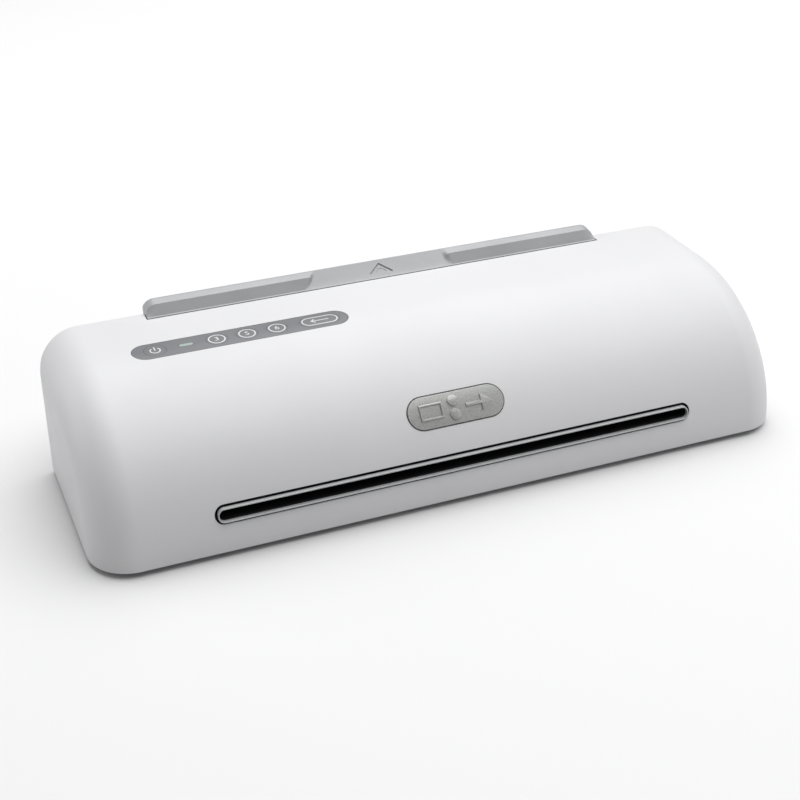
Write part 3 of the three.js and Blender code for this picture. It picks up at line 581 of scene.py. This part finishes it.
def make_badge():
    """Plate with a raised generic pictogram: a sheet, a pair of rollers and an arrow."""
    plate = common(badge_prism(badge_outline(-GAP), -6, 6, "badge_plate_face"),
                   skin(-PLATE_PROUD, POCKET_DEPTH))
    bevelled(plate, 0.25, 3)
    true_normals(plate, -PLATE_PROUD)
    finish_piece(plate, "chassis", BADGE_METAL, replaces=["badge_plate"])
    for index, mark in enumerate(emblem_marks()):
        emblem = common(mark, skin(-EMBLEM_PROUD, EMBLEM_ROOT))
        emblem.name = f"badge_emblem_{index + 1}"
        bevelled(emblem, 0.35, 3)
        finish_piece(smooth(emblem, 50), "chassis", BADGE_METAL)


# ---- control strip and keys ----------------------------------------------------------
KEY_GAP = 0.24
STRIP_SUNK = 0.04                # the strip and the keys lie this far below the cover's face
CAP_FOOT = 65.4
FLANGE_OUT = 0.4
LENS_SIZE = (7, 2.4)
LENS_GAP = 0.4
LENS_FLANGE = 1.4
INK = (-0.02, 0.06)              # depths below the cover's face, so the ink stands off the strip
STROKE = 0.62


def strip_slot(x, length, width, low, high, name="tool", steps=24):
    """Upright solid with a stadium outline, on the strip's centre line."""
    return prism("z", stadium(x, PANEL["y"], length, width, steps), low, high, name)


def make_control_strip():
    strip = common(prism("z", panel_outline(0), BELOW, ABOVE, "control_strip"),
                   skin(STRIP_SUNK, POCKET_DEPTH))
    holes = [strip_slot(x, length + KEY_GAP, 2 * KEY_RADIUS + KEY_GAP, BELOW, ABOVE)
             for x, length in KEYS.values()]
    lens_x, (lens_length, lens_width) = key_x[1], LENS_SIZE
    holes.append(strip_slot(lens_x, lens_length + LENS_GAP, lens_width + LENS_GAP, BELOW, ABOVE, steps=12))
    carve(strip, holes)
    true_normals(strip, STRIP_SUNK)
    finish_piece(strip, "chassis", PANEL_GREY, replaces=["control_panel"])
    window = strip_slot(lens_x, lens_length, lens_width, CAP_FOOT, ABOVE, "ready_window", 12)
    foot = strip_slot(lens_x, lens_length + LENS_FLANGE, lens_width + LENS_FLANGE, 64.6, 66.6, steps=12)
    lens = unite(common(window, body_solid(0, -5)), foot)
    finish_piece(smooth(lens), "chassis", LENS, replaces=["ready_lens"])


def printed(name, outline_pairs, body):
    """Ink on the strip: each pair is an outer outline and a hole or None."""
    parts = []
    for outer, hole in outline_pairs:
        part = prism("z", outer, 66, 80)
        if hole:
            carve(part, [prism("z", hole, 65, 81)])
        parts.append(part)
    ink = unite(parts[0], *parts[1:]) if len(parts) > 1 else parts[0]
    ink.name = name
    ink = common(ink, skin(*INK))
    finish_piece(smooth(ink), body, PRINT_WHITE)


def ring_outline(x, y, length, width, thickness, steps=24):
    return (stadium(x, y, length, width, steps),
            stadium(x, y, length - 2 * thickness, width - 2 * thickness, steps))


def bar(x0, y0, x1, y1, width):
    """Outline of a straight stroke."""
    along = Vector((x1 - x0, y1 - y0)).normalized() * (width / 2)
    side = Vector((-along.y, along.x))
    start, end = Vector((x0, y0)), Vector((x1, y1))
    return [tuple(p) for p in (start - side, end - side, end + side, start + side)]


def numeral(character, x, y, height):
    """A digit as solid strokes, standing through the strip's surface."""
    curve = bpy.data.curves.new("numeral", "FONT")
    curve.body = character
    curve.size = height * 1.38 * MM
    curve.extrude = 8 * MM
    curve.align_x, curve.align_y = "CENTER", "CENTER"
    text = bpy.data.objects.new("numeral", curve)
    bpy.context.scene.collection.objects.link(text)
    text.location = ORIGIN + Vector((x, y, 72)) * MM
    bpy.context.view_layer.update()
    mesh = bpy.data.meshes.new_from_object(text.evaluated_get(bpy.context.evaluated_depsgraph_get()))
    mesh.transform(text.matrix_world)
    digit = bpy.data.objects.new("numeral", mesh)
    bpy.context.scene.collection.objects.link(digit)
    bpy.data.objects.remove(text)
    welded(mesh)
    return digit


def make_key_caps():
    """Each cap with a flange under the strip and a stem below it."""
    for name, (x, length) in KEYS.items():
        width = 2 * KEY_RADIUS
        cap = common(strip_slot(x, length, width, CAP_FOOT, ABOVE, f"{name}_cap"), body_solid(STRIP_SUNK, -5))
        unite(cap, strip_slot(x, length + 2 * FLANGE_OUT, width + 2 * FLANGE_OUT, 64.8, 66.4),
              prism("z", circle(x, PANEL["y"], 1.6, 20), 63.6, 65.2))
        true_normals(cap, STRIP_SUNK)
        finish_piece(cap, name, PANEL_GREY, replaces=[name])


def make_key_prints():
    """Power symbol, ringed digits and a ringed arrow, each riding on its key."""
    x, y = KEYS["power_key"][0], PANEL["y"]
    radius, opening = 2.7, (128, 412)
    broken_ring = (arc(x, y - 0.3, radius, *opening, 40)
                   + arc(x, y - 0.3, radius - STROKE, *reversed(opening), 40))
    printed("power_mark", [(broken_ring, None), (bar(x, y - 0.4, x, y + 3.1, STROKE), None)], "power_key")
    for digit in "356":
        name = f"thickness_key_{digit}"
        x = KEYS[name][0]
        printed(f"{name}_ring", [ring_outline(x, y, 8.6, 8.6, STROKE)], name)
        mark = common(numeral(digit, x, y, 3.7), skin(*INK))
        mark.name = f"{name}_digit"
        finish_piece(smooth(mark), name, PRINT_WHITE)
    x, tip = REVERSE_X, REVERSE_X - 4.6
    arrow = [(bar(x - 4.2, y, x + 4.6, y, STROKE), None),
             (bar(tip, y - 0.25, tip + 2, y + 1.75, STROKE), None),
             (bar(tip, y + 0.25, tip + 2, y - 1.75, STROKE), None)]
    printed("reverse_ring", [ring_outline(x, y, 18.6, 8.0, STROKE)], "reverse_key")
    printed("reverse_mark", arrow, "reverse_key")


# ---- input tray ----------------------------------------------------------------------
LIP = (TRAY_FRONT + 0.35, 68.75)
SHOULDER = (114.1, 73.5)
RIDGE = (118.5, 74.4)
TRAY_PROUD = 2.4
TRAY_FOOT = 11
LEDGE = (LIP[0] + 0.9, LIP[1])
SCOOP_HALF = {-1: 42.5, 1: 39}   # the scoop reaches further and slants more on the left
SCOOP_SLANT = {-1: 7, 1: 2.5}
SCOOP_EDGE = 4.4                 # width of the scoop's soft end, which starts SCOOP_OUT beyond it
SCOOP_OUT = 2.4
SCOOP_HOLLOW = 1.12
TRAY_END_RADIUS = 6
KNUCKLES = (112.8, 118.2)        # the base's hinge knuckles, as distances from mid length
EARS = (119, 124.6)              # the tray's hinge ears, outside the knuckles


def scoop_floor(y):
    """Height of the scoop's single, slightly hollow face, from the ledge up to the ridge."""
    share = max(0.0, (y - LEDGE[0]) / (RIDGE[0] - LEDGE[0]))
    return LEDGE[1] + (RIDGE[1] - 0.1 - LEDGE[1]) * share ** SCOOP_HOLLOW


def tray_section(scoop, rise):
    """Y and Z of the tray's section. scoop hollows its front from 0 to 1, and rise is how much
    of its full height above the cover it has."""
    def lifted(y, z):
        level = 68.4
        return (y, level + (z - level) * rise if z > level else z)

    front = [(LEDGE[0], 66.7), (LEDGE[0], 67.9), (LIP[0] + 0.1, 68.3), (LIP[0], 68.5), LEDGE]
    corners = [LEDGE, SHOULDER, RIDGE]
    slope = []
    for (y0, z0), (y1, z1) in zip(corners, corners[1:]):
        for t in np.linspace(0.12, 1, 7):
            y, z = y0 + (y1 - y0) * t, z0 + (z1 - z0) * t
            slope.append((y, z + (scoop_floor(y) - z) * scoop))
    crown = Vector((rear_at(RIDGE[1]) + TRAY_PROUD - 0.6, RIDGE[1] - 0.1))
    down = Vector((rear_at(70) + TRAY_PROUD, 70))
    start = Vector(RIDGE)
    back = [tuple(start * (1 - t) ** 2 + crown * 2 * t * (1 - t) + down * t ** 2)
            for t in np.linspace(0.15, 1, 9)]
    lower = [(rear_at(TRAY_FOOT + 1.2) + TRAY_PROUD, TRAY_FOOT + 1.2),
             (rear_at(TRAY_FOOT) + TRAY_PROUD - 0.5, TRAY_FOOT + 0.3),
             (rear_at(TRAY_FOOT) + 1.2, TRAY_FOOT), (rear_at(TRAY_FOOT) - 0.2, TRAY_FOOT),
             (rear_at(63.5) - 0.2, 63.5), (rear_at(65.6) - 0.9, 65.8), (rear_at(66.6) - 1.9, 66.7)]
    return [lifted(*p) for p in front + slope + back] + lower


def hinge_bores(inner, outer):
    """Cutting tools for the pin holes, one on each side."""
    return [prism("x", circle(*HINGE, PIN_HOLE, 24), *span(side, inner, outer)) for side in SIDES]


def tray_ring(x, scoop=0.0, rise=1.0, slant=0.0, tuck=0.0):
    """The tray's section at x. slant leans it toward the middle with height, and tuck draws its
    rear face in."""
    points = []
    for y, z in tray_section(scoop, rise):
        height = max(0.0, min(1.0, (z - LIP[1]) / (RIDGE[1] - LIP[1])))
        outer = max(0.0, y - rear_at(z) - TRAY_PROUD / 2)
        points.append((x - math.copysign(slant * height, x), y - min(tuck, outer), z))
    return points


def tray_end_rings(side):
    """Sections that round off one end of the tray, from its tip inward."""
    reaches = [TRAY_END_RADIUS * (1 - math.cos(a)) for a in np.linspace(0.28, math.pi / 2, 9)]
    rings = []
    for reach in reaches:
        inward = reach - reaches[0]
        share = min(1.0, (inward + 0.25) / TRAY_END_RADIUS)
        rings.append(tray_ring(side * (TRAY_HALF - inward), rise=math.sqrt(1 - (1 - share) ** 2),
                               tuck=quarter_inset(TRAY_PROUD / 2, inward)))
    return rings


def scoop_rings(side):
    """Sections across one soft end of the scoop, from outside it inward."""
    rings = []
    for t in np.linspace(0, 1, 8):
        distance = SCOOP_HALF[side] + SCOOP_OUT - SCOOP_EDGE * t
        rings.append(tray_ring(side * distance, scoop=t * t * (3 - 2 * t), slant=SCOOP_SLANT[side]))
    return rings


def make_tray():
    left, right = SIDES
    tray = loft("folding_tray", tray_end_rings(left) + scoop_rings(left)
                + scoop_rings(right)[::-1] + tray_end_rings(right)[::-1])
    room = (KNUCKLES[0] - 0.6, KNUCKLES[1] + 0.6)
    carve(tray, [block(*span(side, *room), 100, 112, 5, HINGE[1] + KNUCKLE_RADIUS + 1.6) for side in SIDES])
    ears = [prism("x", circle(*HINGE, KNUCKLE_RADIUS, 40), *span(side, *EARS)) for side in SIDES]
    low, high = 24, 60
    outline = [(rear_at(low) + 0.2, low), (rear_at(high) + 0.2, high),
               (rear_at(high) - 1.4, high - 1), (rear_at(low) - 1.4, low + 1)]
    ribs = [prism("x", outline, x - 0.8, x + 0.8) for x in np.linspace(-96, 96, 5)]
    unite(tray, *ears, *ribs)
    grooves = chevron_grooves()
    carve(tray, [*hinge_bores(EARS[0] - 0.1, TRAY_HALF + 2), *grooves])
    finish_piece(smooth(tray, 24), "input_tray", TRAY_GREY, replaces=["input_tray"])


def chevron_grooves():
    """Arrow cut into the scoop, pointing to the rear, with a small notch between its legs."""
    apex, reach, run, width, depth = 116.9, 6.2, 4.4, 0.95, 0.8
    strokes = [prism("z", bar(-side * 0.12, apex, side * reach, apex - run, width), BELOW, 90)
               for side in SIDES]
    foot, tip = apex - run + 0.3, apex - 2.2
    notch = prism("z", [(-3.2, foot), (3.2, foot), (1.3, tip), (-1.3, tip)], BELOW, 90)
    grooves = []
    for tool, sunk in ((unite(*strokes), depth), (notch, depth / 3)):
        floor = [(y, scoop_floor(y) - sunk) for y in np.linspace(LEDGE[0], RIDGE[0], 9)]
        before, beyond = LIP[0] - 2, RIDGE[0] + 6
        below = [(before, floor[0][1]), *floor, (beyond, floor[-1][1]), (beyond, BELOW), (before, BELOW)]
        grooves.append(carve(tool, [prism("x", below, -20, 20)]))
    return grooves


# ---- rear panel, base, feet, screws, inlet, tray pins --------------------------------
def make_rear_panel():
    """Wall behind the tray, with a funnel that narrows to the feed slot."""
    section = [(98.4, 9), (101, 9), (101, 60.8), (107.7, 63.2), (107.7, 65.5), (105, 65.5), (98.4, 63)]
    panel = prism("x", section, -TRAY_HALF, TRAY_HALF, "rear_wall")
    mouth = 2 * 117
    steps = [(97, 20.9, 0, 8.2), (98.8, 20.9, 0, 8.2), (101.2, 21.3, 5, 15), (103, 21.3, 9, 19)]
    funnel = loft("tool", [[(x, y, z) for x, z in stadium(0, centre, mouth + wider, height)]
                           for y, centre, wider, height in steps])
    rooms = [block(*span(side, KNUCKLES[0] - 1, 126), 99.8, 103, 5, 19.2) for side in SIDES]
    carve(panel, [funnel, *rooms])
    finish_piece(smooth(panel), "chassis", TRAY_GREY, replaces=["rear_panel"])


BASE_INSET = WALL + 0.5
BASE_PLATE = 2.6
FEET = {"foot_front_left": (-140, 30), "foot_front_right": (140, 30),
        "foot_rear_left": (-140, 86), "foot_rear_right": (140, 86)}


def base_knuckles():
    y, z = HINGE
    web = [(100.6, 1), (102.6, 1), (y + 2.6, z - 2.4), (y, z + 3), (102, z + 2)]
    knuckles = []
    for side in SIDES:
        low, high = span(side, *KNUCKLES)
        knuckles += [prism("x", web, low, high), prism("x", circle(y, z, KNUCKLE_RADIUS, 36), low, high)]
    return knuckles


def make_base():
    """Bottom plate with a rim, a rear wall, hinge knuckles, screw collars and vents."""
    plate = common(body_solid(BASE_INSET, -5, "base_moulding"),
                   block(-190, 190, -5, 130, 0, BASE_PLATE))
    rim = common(skin(BASE_INSET, BASE_INSET + 2), block(-190, 190, -5, 130, 1, 9))
    rim = carve(rim, [block(-TRAY_SPACE - 8, TRAY_SPACE + 8, 94, 130, BASE_PLATE, 20),
                      *[prism("z", circle(x, y, 4.3, 24), 4.6, 20) for x, y in POSTS.values()]])
    wall = carve(block(-TRAY_HALF, TRAY_HALF, 95, 102.6, 0, 8.4),
                 [block(-TRAY_SPACE, TRAY_SPACE, 90, 100.4, BASE_PLATE, 20)])
    collars = [prism("z", circle(x, y, 4.6, 24), 0.5, 4.6) for x, y in POSTS.values()]
    unite(plate, rim, wall, *base_knuckles(), *collars)
    vent_half = 1.2
    vent_places = [side * 158 + step for side in SIDES for step in np.linspace(-12, 12, 5)]
    vents = [block(x - vent_half, x + vent_half, 46, 72, -5, 12) for x in vent_places]
    carve(plate, [
        *hinge_bores(KNUCKLES[0] - 0.2, KNUCKLES[1] + 0.2),
        *[prism("z", circle(x, y, POST_HOLE, 20), -5, 16) for x, y in POSTS.values()],
        *[prism("z", circle(x, y, 3.3, 28), -5, 1.8) for x, y in POSTS.values()],
        *[prism("z", circle(x, y, 7.3, 40), -5, 1.2) for x, y in FEET.values()],
        *vents,
        block(-55, 55, 38, 66, -1, 0.35),
    ])
    finish_piece(smooth(plate, 25), "chassis", BASE_GREY, replaces=["base_tray"])


def lathe(name, x, y, profile, steps=40):
    """A turned piece on a vertical axis. The profile's points are (radius, z), axis to axis."""
    rings = [[(x + r * math.cos(a), y + r * math.sin(a), z) for r, z in profile]
             for a in np.linspace(0, 2 * math.pi, steps, endpoint=False)]
    return loft(name, rings, ring_closed=False, capped=False)


def make_feet():
    low = -FOOT_HEIGHT
    profile = [(0, low + 0.25), (2.2, low + 0.25), (2.5, low), (4.4, low), (4.7, low + 0.35), (5.0, low),
               (6.2, low), (6.75, low + 0.2), (7, low + 0.8), (7, 0.7), (6.8, 0.9), (0, 0.9)]
    for name, (x, y) in FEET.items():
        pad = lathe(f"{name}_pad", x, y, profile)
        finish_piece(smooth(pad, 30), "chassis", RUBBER, replaces=[name])


def make_screws():
    profile = [(0, 0.25), (1.9, 0.25), (2.6, 0.45), (3, 0.9), (3, 1.5), (1.5, 1.5), (1.5, 13.6), (0, 14)]
    long, wide = 1.7, 0.35
    for corner in ("front_left", "front_right", "rear_left", "rear_right"):
        x, y = POSTS[corner]
        screw = lathe(f"screw_{corner}", x, y, profile, 28)
        cross = unite(block(x - long, x + long, y - wide, y + wide, 0, 1.1),
                      block(x - wide, x + wide, y - long, y + long, 0, 1.1))
        carve(screw, [cross])
        finish_piece(smooth(screw), "chassis", STEEL, replaces=[f"case_screw_{corner}"])


def make_inlet():
    x, z = INLET["x"], INLET["z"]
    face = rear_at(z - INLET["half_height"]) - GAP
    housing = block(x - INLET["half"], x + INLET["half"], 88, face,
                    z - INLET["half_height"], z + INLET["half_height"], "inlet_housing")
    bevelled(housing, 0.5)
    lobe_x, lobe_radius, waist = 3.3, 4.1, 3.2
    back, front = face - 12, face + 5
    lobes = unite(prism("y", circle(x - lobe_x, z, lobe_radius, 36), back, front),
                  prism("y", circle(x + lobe_x, z, lobe_radius, 36), back, front),
                  block(x - lobe_x, x + lobe_x, back, front, z - waist, z + waist))
    carve(housing, [lobes])
    finish_piece(smooth(housing), "chassis", BLACK_PLASTIC, replaces=["mains_inlet"])
    contact_x, contact_profile = 4.3, ((1.15, -12.5), (1.15, -3.2), (0.8, -2.6), (0.3, -2.4))
    for side, name in zip(SIDES, ("left", "right")):
        rings = [[(x + side * contact_x + r * math.cos(a), face + depth, z + r * math.sin(a))
                  for a in np.linspace(0, 2 * math.pi, 20, endpoint=False)]
                 for r, depth in contact_profile]
        contact = loft(f"inlet_contact_{name}", rings)
        finish_piece(smooth(contact), "chassis", STEEL)


def make_pins():
    for side, name in zip(SIDES, ("left", "right")):
        low, high = span(side, KNUCKLES[0] + 0.2, EARS[1] - 0.2)
        pin = prism("x", circle(*HINGE, PIN_RADIUS, 28), low, high, f"hinge_pin_{name}")
        bevelled(pin, 0.3)
        finish_piece(smooth(pin), "chassis", STEEL, replaces=[f"tray_pin_{name}"])


make_cover()
make_exit_trim()
make_badge()
make_control_strip()
make_key_caps()
make_key_prints()
make_tray()
make_rear_panel()
make_base()
make_feet()
make_screws()
make_inlet()
make_pins()

# ---- the mechanism keeps its CAD shapes and takes these materials ---------------------
SLOT_MATERIALS = {
    "tray_grey": TRAY_GREY, "panel_grey": PANEL_GREY, "lens": LENS, "trim_grey": TRIM_GREY,
    "badge_metal": BADGE_METAL, "base_grey": BASE_GREY, "foot_rubber": RUBBER, "steel": STEEL,
    "aluminium": ALUMINIUM, "brass": BRASS, "silicone": SILICONE, "nylon": NYLON,
    "board": BOARD_GREEN, "black_plastic": BLACK_PLASTIC, "cover_white": WHITE,
}
slot_of = {row["node"]: row["material_slot"] for row in frame["record"]["subparts"]}
for node, cad_object in frame["nodes"].items():
    material = SLOT_MATERIALS[slot_of[node]]
    if not cad_object.data.materials:
        cad_object.data.materials.append(material)
    for index in range(len(cad_object.data.materials)):
        cad_object.data.materials[index] = material


# ---- floor, light and camera ----------------------------------------------------------
def make_stage():
    """Plain pale floor and a dim even surround."""
    size, level = 6.0, -0.0002
    mesh = bpy.data.meshes.new("floor")
    corners = [(-size, -size, level), (size, -size, level), (size, size, level), (-size, size, level)]
    mesh.from_pydata(corners, [], [(0, 1, 2, 3)])
    floor = bpy.data.objects.new("floor", mesh)
    bpy.context.scene.collection.objects.link(floor)
    material, _, shader = nodes_of("floor_pale")
    shader.inputs["Base Color"].default_value = (0.70, 0.70, 0.705, 1)
    shader.inputs["Roughness"].default_value = 0.95
    shader.inputs["Specular IOR Level"].default_value = 0.1
    mesh.materials.append(material)
    world = bpy.data.worlds.new("studio")
    bpy.context.scene.world = world
    world.use_nodes = True
    background = world.node_tree.nodes["Background"]
    background.inputs["Color"].default_value = (1, 1, 1, 1)
    background.inputs["Strength"].default_value = 0.14


def area_light(name, place, target, size, power):
    """Rectangular light at place, turned toward target, in metres and watts."""
    data = bpy.data.lights.new(name, "AREA")
    data.shape = "RECTANGLE"
    data.size, data.size_y = size
    data.energy = power
    light = bpy.data.objects.new(name, data)
    bpy.context.scene.collection.objects.link(light)
    light.location = place
    direction = Vector(target) - Vector(place)
    light.rotation_euler = direction.to_track_quat("-Z", "Y").to_euler()


CAMERA_LENS = 66.96
CAMERA_PITCH = 30.88             # degrees below level
CAMERA_HEADING = 22.36           # degrees from straight ahead, toward the right end
CAMERA_ROLL = 0.245
CAMERA_PLACE = (-LENGTH / 2 - 76, -540.9, 412.3)


def make_camera():
    """Stands in front of the machine, beyond its left end, and looks down at it."""
    data = bpy.data.cameras.new("camera")
    data.sensor_width = 36
    data.lens = CAMERA_LENS
    data.clip_start = 0.01
    camera = bpy.data.objects.new("camera", data)
    bpy.context.scene.collection.objects.link(camera)
    aim = Euler((math.radians(90 - CAMERA_PITCH), 0, math.radians(-CAMERA_HEADING))).to_matrix()
    roll = Matrix.Rotation(math.radians(CAMERA_ROLL), 3, "Z")
    camera.matrix_world = (aim @ roll).to_4x4()
    camera.location = ORIGIN + Vector(CAMERA_PLACE) * MM
    bpy.context.scene.camera = camera


make_stage()
area_light("overhead", (0.45, 0.35, 1.7), (0.05, 0.1, 0), (2.8, 2.6), 68)
area_light("left_rear", (-1.2, 0.75, 0.4), (-0.15, 0.05, 0.03), (0.9, 0.7), 5)
area_light("right_front", (1.1, -1.0, 0.6), (0.18, 0, 0.03), (1.1, 1.1), 3)
make_camera()
bpy.context.scene.view_settings.view_transform = "Standard"
